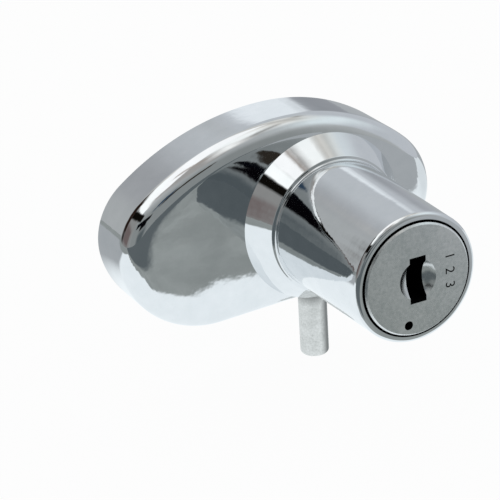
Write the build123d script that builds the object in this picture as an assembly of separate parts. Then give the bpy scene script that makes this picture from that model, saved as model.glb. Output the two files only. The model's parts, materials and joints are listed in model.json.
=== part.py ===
from build123d import *
import os
from math import acos, asin, atan2, copysign, cos, degrees, radians, sin

# Glass door lock: a chromed zinc casting on a pane of glass, with a wafer cylinder that lifts a bolt pin.
# Millimetres. The origin is on the glass, on the axis of the barrel.
# +X runs along the base to the right, +Z is up, and the barrel points along -Y, out of the door.
# A depth is a distance in front of the glass: a plane at depth d lies at y = -d.

# Base of the casting, an egg shape with an arched top, round ends and a nearly flat bottom
base_left = 38.3
base_right = 23.6
crown_height = 19.2
crown_offset = 5.0
belly_depth = 16.4
belly_offset = 21.0
keel_depth = 15.6
right_top_radius = 13.2
left_top_radius = 12.3
left_bottom_radius = 11.7
right_bottom_radius = 11.0
base_thickness = 12.0
base_edge_radius = 3.5
front_wall = 2.5
side_wall = 2.5
lip_wall = 1.3

# Collar and barrel of the casting
collar_radius = 15.6
collar_top_radius = 12.7
collar_height = 4.7
collar_foot = 6.0
collar_chamfer = 0.2
barrel_root_radius = 12.05
barrel_mouth_radius = 11.56
barrel_length = 31.3
rim_chamfer = 0.5

# Plug, the part that the key turns
plug_radius = 8.0
plug_running_gap = 0.05
plug_proud = 0.5
flange_radius = 10.0
flange_thickness = 3.0
flange_gap = 0.4
flange_chamfer = 0.3
keyway_width = 3.1
keyway_height = 8.3
key_tip_room = 1.5
dish_radius = 3.5
dish_floor_radius = 1.3
dish_depth = 1.5
release_hole_radius = 0.8
release_hole_x = -2.0
release_hole_z = -7.9
tang_width = 3.0
tang_length = 13.0
turn_angle = 90.0

# Wafers and their springs
wafer_count = 6
wafer_pitch = 2.2
wafer_thickness = 1.1
wafer_width = 8.4
wafer_setback = 2.5
wafer_window_side_gap = 0.15
wafer_gap = 0.05
wafer_lift = 1.0
wafer_tip_gap = 0.06
wafer_groove_depth = 1.3
wafer_groove_side_gap = 0.2
wing_width = 1.5
wing_height = 1.2
spring_sides = 8
wafer_spring_radius = 0.5
wafer_spring_wire = 0.15
wafer_spring_length = 2.6

# Retaining wafer, the catch behind the release hole
catch_setback = 4.0
catch_thickness = 1.2
catch_width = 5.0
catch_height = 4.4
catch_reach = 1.05
catch_travel = 1.1
catch_groove_gap = 0.2
catch_spring_radius = 1.4
catch_spring_wire = 0.35
catch_spring_length = 5.5

# Disc behind the plug, with its washer, snap ring and crank stud
disc_radius = 10.5
disc_running_gap = 0.08
disc_thickness = 2.2
washer_thickness = 0.3
ring_thickness = 0.6
ring_lip = 0.4
ring_overlap = 0.8
ring_seat = 0.8
ring_opening = 7.0
crank_radius = 8.0
stud_radius = 1.5
stud_engagement = 2.6

# Slider and bolt pin
slider_half_width = 10.9
slider_plate = 3.0
slider_web = 1.6
slider_boss_half_width = 3.6
slider_stop_gap = 0.2
slide_gap = 0.3
pin_nose_radius = 2.65
pin_body_radius = 2.85
pin_shoulder_drop = 1.0
pin_setback = 5.3
pin_tip_depth = 29.3
pin_tip_chamfer = 0.5
pin_running_gap = 0.05
guide_length = 4.5
guide_half_width = 5.0
spigot_radius = 1.8
spigot_length = 7.0
cross_pin_radius = 0.6
cross_pin_rise = 3.6
rail_width = 1.5
rail_gap = 0.1
rail_top = 10.5

# Back cover, screws, fixings to the glass and the soft pad
pad_thickness = 1.0
pad_proud = 0.4
cover_thickness = 1.5
seat_gap = 0.1
fit_gap = 0.05
fixing_x = (-29.0, 15.0)
fixing_hole_radius = 1.65
fixing_hole_depth = 8.0
fixing_boss_radius = 3.5
fixing_bolt_gap = 0.65
screw_places = ((-24.0, 10.5), (13.5, -7.6))
screw_radius = 1.0
screw_length = 6.0
screw_gap = 0.03
screw_head_radius = 1.9
screw_head_height = 1.0
screw_boss_radius = 2.2

# Depths that follow from the sizes above, from the glass outwards
casting_back = pad_proud
cover_back = pad_thickness
cover_front = cover_back + cover_thickness
base_face = casting_back + base_thickness
cavity_floor = base_face - front_wall
ring_back = cavity_floor + ring_lip
ring_front = ring_back + ring_thickness
disc_back = ring_front + fit_gap
disc_front = disc_back + disc_thickness
washer_back = disc_front + fit_gap
washer_front = washer_back + washer_thickness
shoulder = washer_front + fit_gap
plug_back = disc_front + seat_gap
tang_back = disc_back + seat_gap
rim = base_face + barrel_length
plug_face = rim + plug_proud
flange_back = plug_face - flange_thickness
first_wafer_front = flange_back - wafer_setback
last_wafer_back = first_wafer_front - wafer_pitch * (wafer_count - 1) - wafer_thickness
keyway_back = last_wafer_back - key_tip_room
catch_front = last_wafer_back - catch_setback
catch_back = catch_front - catch_thickness
catch_middle = (catch_back + catch_front) / 2
slider_front = cavity_floor - slide_gap
slider_back = slider_front - slider_plate
slider_boss_back = cover_front + slide_gap
stud_back = slider_front - stud_engagement
pin_axis = base_face - pin_setback

# The crank lifts the slider by an equal step for each degree, within the slack of the cross slot
turn = radians(turn_angle)
throw = 2 * crank_radius * sin(turn / 2)
lift_per_radian = throw / turn
slack_angle = acos(lift_per_radian / crank_radius)
crank_slack = crank_radius * sin(slack_angle) - lift_per_radian * slack_angle
stud_x = -crank_radius * cos(turn / 2)
stud_z = -throw / 2
slot_half_height = stud_radius + crank_slack + fit_gap
guide_top = guide_length - keel_depth
slider_bottom = guide_top + slider_stop_gap
slider_top = stud_z + slot_half_height + slider_web
catch_tip = plug_radius + catch_reach
catch_top = catch_height - catch_tip


def slab(outline, back, front):
    """Solid of a flat outline, drawn in X and Z, between two depths."""
    return extrude(Plane.XZ.offset(back) * outline, amount=front - back)


def rod(radius, back, front, x=0.0, z=0.0):
    """Round bar along the depth."""
    return slab(Pos(x, z) * Circle(radius), back, front)


def block(left, right, low, high, back, front):
    """Box between two values each of X, Z and depth."""
    size = Rectangle(right - left, high - low)
    return slab(Pos((left + right) / 2, (low + high) / 2) * size, back, front)


def upright(radius, depth, low, high, x=0.0):
    """Round bar along Z."""
    return extrude(Plane((x, -depth, low)) * Circle(radius), amount=high - low)


def sleeve(radius, wire, depth, low, high, x=0.0):
    """Outer shape of a hidden coil spring along Z, drawn with flat sides."""
    ring = RegularPolygon(radius, spring_sides) - RegularPolygon(radius - wire, spring_sides)
    return extrude(Plane((x, -depth, low)) * ring, amount=high - low)


def turned(points):
    """Solid turned about the barrel's axis from points of radius and depth."""
    profile = Polyline(*[(radius, -depth) for radius, depth in points], close=True)
    return revolve(make_face(profile), Axis.Y)


def oval_quarter(crown_x, crown_z, tip_x, tip_radius):
    """Quarter of an oval from its crown to its tip: centres, broad radius, and the angle where its arcs meet."""
    reach = abs(tip_x - crown_x) - tip_radius
    height = abs(crown_z)
    broad_radius = (reach ** 2 + height ** 2 - tip_radius ** 2) / (2 * (height - tip_radius))
    tip_centre = Vector(tip_x - copysign(tip_radius, tip_x), 0)
    broad_centre = Vector(crown_x, crown_z - copysign(broad_radius, crown_z))
    gap = tip_centre - broad_centre
    return tip_centre, broad_centre, broad_radius, degrees(atan2(gap.Y, gap.X)) % 360


def arc_between(centre, radius, start, end):
    """Arc about a centre between two angles in degrees."""
    return CenterArc(centre, radius, start, end - start)


def base_outline(inset=0.0):
    """Outline of the base, of tangent arcs and one line, drawn smaller all round by the inset."""
    crown_x, belly_x = -crown_offset, -belly_offset
    tip_1, crown_1, broad_1, meet_1 = oval_quarter(crown_x, crown_height, base_right, right_top_radius)
    tip_2, crown_2, broad_2, meet_2 = oval_quarter(crown_x, crown_height, -base_left, left_top_radius)
    tip_3, crown_3, broad_3, meet_3 = oval_quarter(belly_x, -belly_depth, -base_left, left_bottom_radius)
    tip_4, crown_4, broad_4, meet_4 = oval_quarter(0, -keel_depth, base_right, right_bottom_radius)
    gap = crown_4 - crown_3
    tilt = asin((broad_3 - broad_4) / gap.length) + atan2(gap.Y, gap.X)
    down = Vector(sin(tilt), -cos(tilt))
    run = 270 + degrees(tilt)
    return make_face([
        arc_between(tip_1, right_top_radius - inset, 0, meet_1),
        arc_between(crown_1, broad_1 - inset, meet_1, 90),
        arc_between(crown_2, broad_2 - inset, 90, meet_2),
        arc_between(tip_2, left_top_radius - inset, meet_2, 180),
        arc_between(tip_3, left_bottom_radius - inset, 180, meet_3),
        arc_between(crown_3, broad_3 - inset, meet_3, run),
        Line(crown_3 + down * (broad_3 - inset), crown_4 + down * (broad_4 - inset)),
        arc_between(crown_4, broad_4 - inset, run, meet_4),
        arc_between(tip_4, right_bottom_radius - inset, meet_4, 360),
    ])


def casting_shell():
    """Outside of the casting: base with a round front edge, collar with its step, and tapered barrel."""
    base = slab(base_outline(), casting_back, base_face)
    base = fillet(base.faces().sort_by(Axis.Y)[0].edges(), base_edge_radius)
    collar_top = base_face + collar_height
    trunk = turned([
        (0, collar_foot),
        (collar_radius, collar_foot),
        (collar_radius, base_face),
        (collar_top_radius, collar_top - collar_chamfer),
        (collar_top_radius - collar_chamfer, collar_top),
        (barrel_root_radius, collar_top),
        (barrel_mouth_radius, rim - rim_chamfer),
        (barrel_mouth_radius - rim_chamfer, rim),
        (0, rim),
    ])
    return base + trunk


def cavity():
    """Room behind the base's face, with the rebate of the back cover."""
    room = slab(base_outline(side_wall), casting_back - 1, cavity_floor)
    return room + slab(base_outline(lip_wall), casting_back - 1, cover_front)


def cavity_fittings():
    """What stands in the cavity: fixing bosses, screw bosses, rails and the pin's guide."""
    parts = []
    for x in fixing_x:
        parts.append(rod(fixing_boss_radius, cover_back, cavity_floor, x))
    for x, z in screw_places:
        parts.append(rod(screw_boss_radius, cover_front, cavity_floor, x, z))
    wall_side = side_wall / 2 - keel_depth
    rail_left = slider_half_width + rail_gap
    for side in (-1, 1):
        edges = sorted((side * rail_left, side * (rail_left + rail_width)))
        parts.append(block(edges[0], edges[1], -rail_top, rail_top, slider_boss_back, cavity_floor))
    parts.append(block(-guide_half_width, guide_half_width, wall_side, guide_top, cover_front, cavity_floor))
    return parts


def housing_bores():
    """Bores of the barrel: plug and flange, disc and snap ring, and the grooves of the wafers and the catch."""
    bore_radius = plug_radius + plug_running_gap
    groove_radius = plug_radius + wafer_groove_depth
    flange_bore = flange_radius + flange_gap
    cuts = [
        rod(flange_bore, flange_back - seat_gap, rim + 1),
        rod(bore_radius, shoulder - 1, rim),
        rod(disc_radius + disc_running_gap, cavity_floor - 1, shoulder),
        rod(disc_radius + ring_seat + fit_gap, ring_back - fit_gap, ring_front + fit_gap),
        rod(catch_tip + catch_groove_gap, catch_back - catch_groove_gap, catch_front + catch_groove_gap),
    ]
    half_width = wafer_width / 2 + wafer_groove_side_gap
    back = last_wafer_back - wafer_groove_side_gap
    front = first_wafer_front + wafer_groove_side_gap
    up = block(-half_width, half_width, 0, groove_radius, back, front)
    side = block(0, groove_radius, -half_width, half_width, back, front)
    room = rod(groove_radius, back, front)
    cuts += [up & room, side & room]
    return cuts


def make_housing():
    """The casting, with everything that is cored or drilled in it."""
    body = casting_shell() - cavity()
    for part in cavity_fittings():
        body = body + part
    for cut in housing_bores():
        body = body - cut
    for x in fixing_x:
        body = body - rod(fixing_hole_radius, cover_back - 1, cover_back + fixing_hole_depth, x)
    for x, z in screw_places:
        body = body - rod(screw_radius + screw_gap, cover_back, cover_back + screw_length + seat_gap, x, z)
    pin_bore = upright(pin_body_radius + pin_running_gap, pin_axis, -keel_depth - 1, guide_top + 1)
    return body - pin_bore


def wafer_depths(index):
    """Back and front depth of one wafer."""
    front = first_wafer_front - wafer_pitch * index
    return front - wafer_thickness, front


def wing_pocket_floor():
    """Height at which a wafer's spring stands in the plug."""
    return -wing_height / 2 - wafer_spring_length


def make_wafer(index):
    """Brass wafer: a strip with round tips, a window for the key, and a wing that its spring lifts."""
    back, front = wafer_depths(index)
    half = wafer_width / 2
    window_half = keyway_width / 2 + wafer_window_side_gap
    strip = block(-half, half, -plug_radius, plug_radius, back, front)
    strip = strip & rod(plug_radius - wafer_tip_gap, back, front)
    strip = strip - block(-window_half, window_half, -keyway_height / 2, keyway_height / 2, back, front)
    return strip + block(half, half + wing_width, -wing_height / 2, wing_height / 2, back, front)


def make_wafer_spring(index):
    """Outer shape of a wafer's spring, squeezed as when the key is in."""
    back, front = wafer_depths(index)
    x = wafer_width / 2 + wing_width / 2 + wafer_gap
    depth = (back + front) / 2
    return sleeve(wafer_spring_radius, wafer_spring_wire, depth, wing_pocket_floor(), -wing_height / 2, x)


def make_plug():
    """The turning core: flange with its dish, key slot, wafer slots, catch slot and tang."""
    flange = rod(flange_radius, flange_back, plug_face)
    flange = chamfer(flange.edges().sort_by(Axis.Y)[0], flange_chamfer)
    body = flange + rod(plug_radius, plug_back, flange_back)
    body = body + block(-tang_length / 2, tang_length / 2, -tang_width / 2, tang_width / 2, tang_back, plug_back)
    body = body - block(-keyway_width / 2, keyway_width / 2, -keyway_height / 2, keyway_height / 2,
                        keyway_back, plug_face)
    body = body - turned([(0, plug_face - dish_depth), (dish_floor_radius, plug_face - dish_depth),
                          (dish_radius, plug_face), (0, plug_face)])
    half = wafer_width / 2 + wafer_gap
    for index in range(wafer_count):
        back, front = wafer_depths(index)
        back -= wafer_gap
        front += wafer_gap
        body = body - block(-half, half, -plug_radius, plug_radius, back, front)
        body = body - block(half, half + wing_width + wafer_gap, wing_pocket_floor(),
                            wing_height / 2 + wafer_lift + wafer_gap, back, front)
    body = body - rod(release_hole_radius, catch_back, plug_face, release_hole_x, release_hole_z)
    half = catch_width / 2 + fit_gap
    body = body - block(-half, half, -plug_radius, catch_top + catch_travel + fit_gap,
                        catch_back - fit_gap, catch_front + fit_gap)
    return body - upright(catch_spring_radius + fit_gap, catch_middle, catch_top, catch_top + catch_spring_length)


def make_retaining_wafer():
    """Catch that stands in the casting's ring groove and keeps the plug in the barrel."""
    plate = block(-catch_width / 2, catch_width / 2, -catch_tip, catch_top, catch_back, catch_front)
    return plate & rod(catch_tip, catch_back, catch_front)


def make_retaining_spring():
    """Outer shape of the spring above the catch."""
    high = catch_top + catch_spring_length
    return sleeve(catch_spring_radius, catch_spring_wire, catch_middle, catch_top, high)


def make_drive_disc():
    """Disc behind the plug: a slot for the tang and a hole for the crank stud."""
    disc = rod(disc_radius, disc_back, disc_front)
    half_length = tang_length / 2 + fit_gap
    half_width = tang_width / 2 + fit_gap
    disc = disc - block(-half_length, half_length, -half_width, half_width, disc_back, disc_front)
    return disc - rod(stud_radius, disc_back, disc_front, stud_x, stud_z)


def make_crank_stud():
    """Steel stud pressed in the disc, which lifts the slider."""
    return rod(stud_radius, stud_back, disc_front, stud_x, stud_z)


def make_thrust_washer():
    """Flat washer between the disc and the casting's shoulder."""
    outer = rod(disc_radius - ring_seat / 4, washer_back, washer_front)
    return outer - rod(plug_radius + plug_running_gap * 4, washer_back, washer_front)


def make_retaining_ring():
    """Snap ring in the casting's groove, open at the bottom."""
    outer = disc_radius + ring_seat
    ring = rod(outer, ring_back, ring_front) - rod(disc_radius - ring_overlap, ring_back, ring_front)
    return ring - block(-ring_opening / 2, ring_opening / 2, -outer, 0, ring_back, ring_front)


def make_bolt_slider():
    """Slider: a plate with the cross slot, and a boss that holds the bolt pin."""
    plate = block(-slider_half_width, slider_half_width, slider_bottom, slider_top, slider_back, slider_front)
    boss = block(-slider_boss_half_width, slider_boss_half_width, slider_bottom, slider_top,
                 slider_boss_back, slider_front)
    slot_length = crank_radius + stud_x
    slot_middle = (stud_x - crank_radius) / 2
    slot = SlotCenterToCenter(slot_length, 2 * slot_half_height)
    slider = plate + boss - slab(Pos(slot_middle, stud_z) * slot, slider_back, slider_front)
    slider = slider - upright(spigot_radius, pin_axis, slider_bottom, slider_bottom + spigot_length)
    return slider - rod(cross_pin_radius, slider_boss_back, slider_front, 0, slider_bottom + cross_pin_rise)


def make_bolt_pin():
    """Bolt pin: a nose with a chamfered tip, a slightly thicker body in the guide, and a thin spigot on top."""
    shoulder_height = -keel_depth - pin_shoulder_drop
    nose = upright(pin_nose_radius, pin_axis, -pin_tip_depth, shoulder_height)
    nose = chamfer(nose.edges().filter_by(GeomType.CIRCLE).sort_by(Axis.Z)[0], pin_tip_chamfer)
    body = upright(pin_body_radius, pin_axis, shoulder_height, slider_bottom)
    spigot = upright(spigot_radius, pin_axis, slider_bottom, slider_bottom + spigot_length - seat_gap)
    hole = rod(cross_pin_radius, slider_boss_back, slider_front, 0, slider_bottom + cross_pin_rise)
    return nose + body + spigot - hole


def make_slider_cross_pin():
    """Small pin through the slider and the spigot."""
    return rod(cross_pin_radius, slider_boss_back, slider_front, 0, slider_bottom + cross_pin_rise)


def make_back_cover():
    """Plate in the casting's rebate, with room for the fixing bosses and counterbores for its screws."""
    cover = slab(base_outline(lip_wall + seat_gap), cover_back, cover_front)
    for x in fixing_x:
        cover = cover - rod(fixing_boss_radius + seat_gap, cover_back, cover_front, x)
    for x, z in screw_places:
        cover = cover - screw_shape(x, z, screw_gap)
    return cover


def screw_shape(x, z, growth=0.0):
    """Screw with a cylindrical head, flush with the cover's back."""
    shank = rod(screw_radius + growth, cover_back, cover_back + screw_length, x, z)
    return shank + rod(screw_head_radius + growth, cover_back, cover_back + screw_head_height + growth, x, z)


def make_cover_screws():
    """The two screws of the back cover."""
    return [screw_shape(x, z) for x, z in screw_places]


def make_glass_pad():
    """Soft pad that stands a little proud of the casting, with holes for the two fixing bolts."""
    pad = slab(base_outline(lip_wall + seat_gap), 0, pad_thickness)
    for x in fixing_x:
        pad = pad - rod(fixing_hole_radius + fixing_bolt_gap, 0, pad_thickness, x)
    return pad


def save(name, shapes):
    """Write one named piece, or a group of like pieces, to its own file."""
    solids = [solid for shape in shapes for solid in shape.solids()]
    piece = solids[0] if len(solids) == 1 else Compound(children=solids)
    piece.label = name
    export_step(piece, "parts/" + name + ".step")


os.makedirs("parts", exist_ok=True)
save("housing", [make_housing()])
save("plug", [make_plug()])
for number in range(wafer_count):
    save(f"wafer_{number + 1}", [make_wafer(number)])
    save(f"wafer_spring_{number + 1}", [make_wafer_spring(number)])
save("retaining_wafer", [make_retaining_wafer()])
save("retaining_spring", [make_retaining_spring()])
save("drive_disc", [make_drive_disc()])
save("crank_stud", [make_crank_stud()])
save("thrust_washer", [make_thrust_washer()])
save("retaining_ring", [make_retaining_ring()])
save("bolt_slider", [make_bolt_slider()])
save("bolt_pin", [make_bolt_pin()])
save("slider_cross_pin", [make_slider_cross_pin()])
save("back_cover", [make_back_cover()])
save("cover_screws", make_cover_screws())
save("glass_pad", [make_glass_pad()])
print(f"bolt throw {throw:.3f} mm, {lift_per_radian:.4f} mm for each radian of the key")
print(f"crank slack {crank_slack:.3f} mm each way, slot {2 * slot_half_height:.3f} mm high")
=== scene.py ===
# %% [markdown]
# # A chrome glass door lock
#
# This lesson dresses a lock for glass doors. Its base is an egg-shaped casting that lies on the pane, its
# barrel stands out of the base on a conical collar, and a round bolt pin comes out of the lower edge.
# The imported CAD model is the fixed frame. The casting, the plug, the pin and the pad are built again here as
# smooth meshes, because chrome is a mirror and shows every flat of a coarse mesh.

# %% Load the frame and keep its box
import json
from math import asin, atan2, copysign, cos, hypot, pi, radians, sin

import bmesh
import bpy
from mathutils import Matrix, Vector


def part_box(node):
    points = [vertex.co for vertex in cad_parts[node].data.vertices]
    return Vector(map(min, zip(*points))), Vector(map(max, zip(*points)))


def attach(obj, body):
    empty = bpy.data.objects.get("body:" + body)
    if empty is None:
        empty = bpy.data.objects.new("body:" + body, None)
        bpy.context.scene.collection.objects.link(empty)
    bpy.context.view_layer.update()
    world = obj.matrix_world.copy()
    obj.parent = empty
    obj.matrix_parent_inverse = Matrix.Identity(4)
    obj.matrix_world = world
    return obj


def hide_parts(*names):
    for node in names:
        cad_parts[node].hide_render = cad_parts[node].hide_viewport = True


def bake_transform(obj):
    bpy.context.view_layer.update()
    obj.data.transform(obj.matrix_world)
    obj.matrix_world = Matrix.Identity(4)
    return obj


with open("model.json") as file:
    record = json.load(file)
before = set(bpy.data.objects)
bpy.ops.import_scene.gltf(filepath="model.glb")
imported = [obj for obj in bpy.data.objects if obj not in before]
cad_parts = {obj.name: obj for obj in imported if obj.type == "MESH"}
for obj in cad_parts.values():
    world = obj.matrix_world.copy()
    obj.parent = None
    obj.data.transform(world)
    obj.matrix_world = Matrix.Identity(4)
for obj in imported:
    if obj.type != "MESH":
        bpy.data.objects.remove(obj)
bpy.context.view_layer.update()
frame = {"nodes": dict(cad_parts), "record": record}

# %% [markdown]
# ## Sizes
#
# The sizes are the ones of the CAD model, in millimetres, so every piece lands where its node is. A depth is
# a distance in front of the glass: a plane at depth d lies at y = -d. The barrel's axis is at x = 0, z = 0.

# %% Sizes of the lock, in millimetres
MM = 0.001

# The base: how far it reaches, where its crown and belly are, and the radii of its four round ends
BASE_LEFT, BASE_RIGHT = 38.3, 23.6
CROWN_HEIGHT, CROWN_X = 19.2, -5.0
BELLY_DEPTH, BELLY_X = 16.4, -21.0
KEEL_DEPTH = 15.6
END_RADII = {"right_top": 13.2, "left_top": 12.3, "left_bottom": 11.7, "right_bottom": 11.0}
BASE_EDGE = 3.5

# Depths of the main planes
CASTING_BACK, COVER_BACK, COVER_FRONT = 0.4, 1.0, 2.5
CAVITY_FLOOR, BASE_FACE, RIM, PLUG_FACE = 9.9, 12.4, 43.7, 44.2
BEHIND_ALL, BEFORE_ALL = -1.0, 45.0

# The plug and what it holds, the pin's axis, and the places of bolts and screws
PLUG_RADIUS, FLANGE_RADIUS, FLANGE_BACK = 8.0, 10.0, 41.2
WAFER_COUNT, WAFER_PITCH, WAFER_THICKNESS, FIRST_WAFER_FRONT = 6, 2.2, 1.1, 38.7
PIN_DEPTH = 7.1
FIXING_X = (-29.0, 15.0)
SCREW_PLACES = ((-24.0, 10.5), (13.5, -7.6))


# %% [markdown]
# ## A helper for plain meshes
#
# Every piece ends as a plain mesh whose object stays at the origin, unturned and unscaled. Points are given
# in the maker's own terms: x, the depth in front of the glass, and z.

# %% Helpers that make mesh objects
def point(x, depth, z):
    """A point of the lock in metres, from millimetres of x, depth and z."""
    return (x * MM, -depth * MM, z * MM)


def mend(mesh, merge=0.0, sliver=0.0, crisp=None):
    """Merge close points, take slivers out, turn faces outwards, and smooth edges below a crisp angle."""
    shape = bmesh.new()
    shape.from_mesh(mesh)
    if merge:
        bmesh.ops.remove_doubles(shape, verts=shape.verts, dist=merge)
    if sliver:
        bmesh.ops.dissolve_degenerate(shape, dist=sliver, edges=shape.edges)
    bmesh.ops.recalc_face_normals(shape, faces=shape.faces)
    if crisp:
        for face in shape.faces:
            face.smooth = True
        for edge in shape.edges:
            edge.smooth = len(edge.link_faces) == 2 and edge.calc_face_angle(0.0) < radians(crisp)
    shape.to_mesh(mesh)
    shape.free()


def link_object(name, data):
    """An object at the origin, linked to the scene."""
    obj = bpy.data.objects.new(name, data)
    bpy.context.scene.collection.objects.link(obj)
    return obj


def new_object(name, points, faces):
    """A mesh object with its faces turned outwards."""
    mesh = bpy.data.meshes.new(name)
    mesh.from_pydata(points, [], faces)
    mesh.validate()
    mend(mesh)
    return link_object(name, mesh)


def loft(name, loops):
    """A closed solid from loops of points that have the same count, with a flat cap at each end."""
    count = len(loops[0])
    faces = [list(range(count)), list(range(len(loops) * count - count, len(loops) * count))]
    for row in range(len(loops) - 1):
        for i in range(count):
            j = (i + 1) % count
            faces.append([row * count + i, row * count + j, (row + 1) * count + j, (row + 1) * count + i])
    return new_object(name, [p for loop in loops for p in loop], faces)


def slab(name, outline, back, front):
    """A flat outline of x and z pushed out between two depths."""
    return loft(name, [[point(x, depth, z) for x, z in outline] for depth in (back, front)])


def circle(radius, count, x=0.0, z=0.0):
    """Outline of a circle with that many points."""
    turns = [2 * pi * i / count for i in range(count)]
    return [(x + radius * cos(turn), z + radius * sin(turn)) for turn in turns]


def rectangle(left, right, low, high):
    """Outline of a rectangle."""
    return [(left, low), (right, low), (right, high), (left, high)]


def oblong(half_width, half_height):
    """Outline of a rectangle about the barrel's axis."""
    return rectangle(-half_width, half_width, -half_height, half_height)


# %% [markdown]
# ## Cutting and joining
#
# The casting is cored and drilled. Boolean modifiers do the same to the mesh: one joins solids, one takes a
# whole collection of cutters away. `new_from_object` then turns the result into a plain mesh.

# %% Boolean helpers
def baked(obj):
    """The object with its modifiers applied, as a plain mesh."""
    graph = bpy.context.evaluated_depsgraph_get()
    mesh = bpy.data.meshes.new_from_object(obj.evaluated_get(graph))
    obj.modifiers.clear()
    obj.data = mesh
    return obj


def combine(obj, others, operation):
    """Join the others to the object, or cut them out of it."""
    tools = bpy.data.collections.new("tools")
    bpy.context.scene.collection.children.link(tools)
    for other in others:
        bpy.context.scene.collection.objects.unlink(other)
        tools.objects.link(other)
    step = obj.modifiers.new("combine", "BOOLEAN")
    step.operation = operation
    step.solver = "EXACT"
    step.operand_type = "COLLECTION"
    step.collection = tools
    baked(obj)
    for other in others:
        bpy.data.objects.remove(other)
    bpy.data.collections.remove(tools)
    return obj


# %% [markdown]
# ## Outline of the base
#
# The base is drawn as a draughtsman would: four round ends and four broad arcs that meet them without a
# kink, and one straight run along the bottom. Moving an outline of arcs inwards only shortens its radii, so
# the same function draws the rounded edge, the cavity and the pad.

# %% Outline of tangent arcs
ARC_BEFORE_RUN = 5


def oval_quarter(crown_x, crown_z, tip_x, tip_radius):
    """Centres, broad radius and meeting angle of the two arcs between a crown and a tip."""
    reach = abs(tip_x - crown_x) - tip_radius
    height = abs(crown_z)
    broad = (reach ** 2 + height ** 2 - tip_radius ** 2) / (2 * (height - tip_radius))
    tip = (tip_x - copysign(tip_radius, tip_x), 0.0)
    centre = (crown_x, crown_z - copysign(broad, crown_z))
    meet = atan2(tip[1] - centre[1], tip[0] - centre[0]) % (2 * pi)
    return tip, centre, broad, meet


def base_arcs():
    """The arcs of the outline in order: centre, radius, first and last angle."""
    tip_1, top_1, broad_1, meet_1 = oval_quarter(CROWN_X, CROWN_HEIGHT, BASE_RIGHT, END_RADII["right_top"])
    tip_2, top_2, broad_2, meet_2 = oval_quarter(CROWN_X, CROWN_HEIGHT, -BASE_LEFT, END_RADII["left_top"])
    tip_3, low_3, broad_3, meet_3 = oval_quarter(BELLY_X, -BELLY_DEPTH, -BASE_LEFT, END_RADII["left_bottom"])
    tip_4, low_4, broad_4, meet_4 = oval_quarter(0.0, -KEEL_DEPTH, BASE_RIGHT, END_RADII["right_bottom"])
    dx, dz = low_4[0] - low_3[0], low_4[1] - low_3[1]
    run = 1.5 * pi + asin((broad_3 - broad_4) / hypot(dx, dz)) + atan2(dz, dx)
    return [
        (tip_1, END_RADII["right_top"], 0.0, meet_1),
        (top_1, broad_1, meet_1, pi / 2),
        (top_2, broad_2, pi / 2, meet_2),
        (tip_2, END_RADII["left_top"], meet_2, pi),
        (tip_3, END_RADII["left_bottom"], pi, meet_3),
        (low_3, broad_3, meet_3, run),
        (low_4, broad_4, run, meet_4),
        (tip_4, END_RADII["right_bottom"], meet_4, 2 * pi),
    ]


def base_outline(inset=0.0, spacing=0.5):
    """Points of the base's outline, moved inwards by the inset; the same count for every inset."""
    outline = []
    for number, ((cx, cz), radius, start, end) in enumerate(base_arcs()):
        steps = max(2, round(radius * abs(end - start) / spacing))
        count = steps + 1 if number == ARC_BEFORE_RUN else steps
        for i in range(count):
            angle = start + (end - start) * i / steps
            outline.append((cx + (radius - inset) * cos(angle), cz + (radius - inset) * sin(angle)))
    return outline


print("points in the base's outline:", len(base_outline()))

# %% [markdown]
# ## Node trees
#
# Geometry Nodes and shaders are both built here in code. One small function adds a node, and three more do
# what every geometry tree needs: begin with named inputs, end with real geometry and a finish, and run on an
# object. An input of the modifier is found by its identifier, because names needn't be unique.

# %% Helpers for node trees
def add_node(tree, kind, inputs=None, **settings):
    """Add a node with its settings; an input takes a value, a socket, or a node for its first output."""
    node = tree.nodes.new(kind)
    for key, value in settings.items():
        setattr(node, key, value)
    for key, value in (inputs or {}).items():
        socket = node.inputs[key]
        if isinstance(value, bpy.types.Node):
            value = value.outputs[0]
        if isinstance(value, bpy.types.NodeSocket):
            tree.links.new(value, socket)
        else:
            socket.default_value = value
    return node


def begin_tree(name, inputs, output, kind="GeometryNodeTree"):
    """A node group and its input node; inputs and output are labels with the types of their sockets."""
    tree = bpy.data.node_groups.new(name, kind)
    for label, socket in inputs.items():
        tree.interface.new_socket(label, in_out="INPUT", socket_type="NodeSocket" + socket)
    tree.interface.new_socket(output[0], in_out="OUTPUT", socket_type="NodeSocket" + output[1])
    return tree, add_node(tree, "NodeGroupInput").outputs


def end_tree(tree, geometry, finish):
    """End a geometry tree: instances become real and the finish is set."""
    real = add_node(tree, "GeometryNodeRealizeInstances", {"Geometry": geometry})
    painted = add_node(tree, "GeometryNodeSetMaterial", {"Geometry": real, "Material": finish})
    add_node(tree, "NodeGroupOutput", {0: painted})
    return tree


def run_tree(obj, tree, values):
    """Run a tree on the object with these inputs, and keep the plain mesh that it makes."""
    step = obj.modifiers.new(tree.name, "NODES")
    step.node_group = tree
    for item in tree.interface.items_tree:
        if item.in_out == "INPUT" and item.name in values:
            step[item.identifier] = values[item.name]
    return baked(obj)


# %% [markdown]
# ## A lathe in Geometry Nodes
#
# The collar and barrel, the plug, the bores and the pin are all turned shapes, so one node tree acts as a
# lathe. It spreads a grid, bends each row round the axis at the radius and depth of one point of the
# profile, and closes the seam and the poles by merging. The object's own vertices are the profile.

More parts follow.
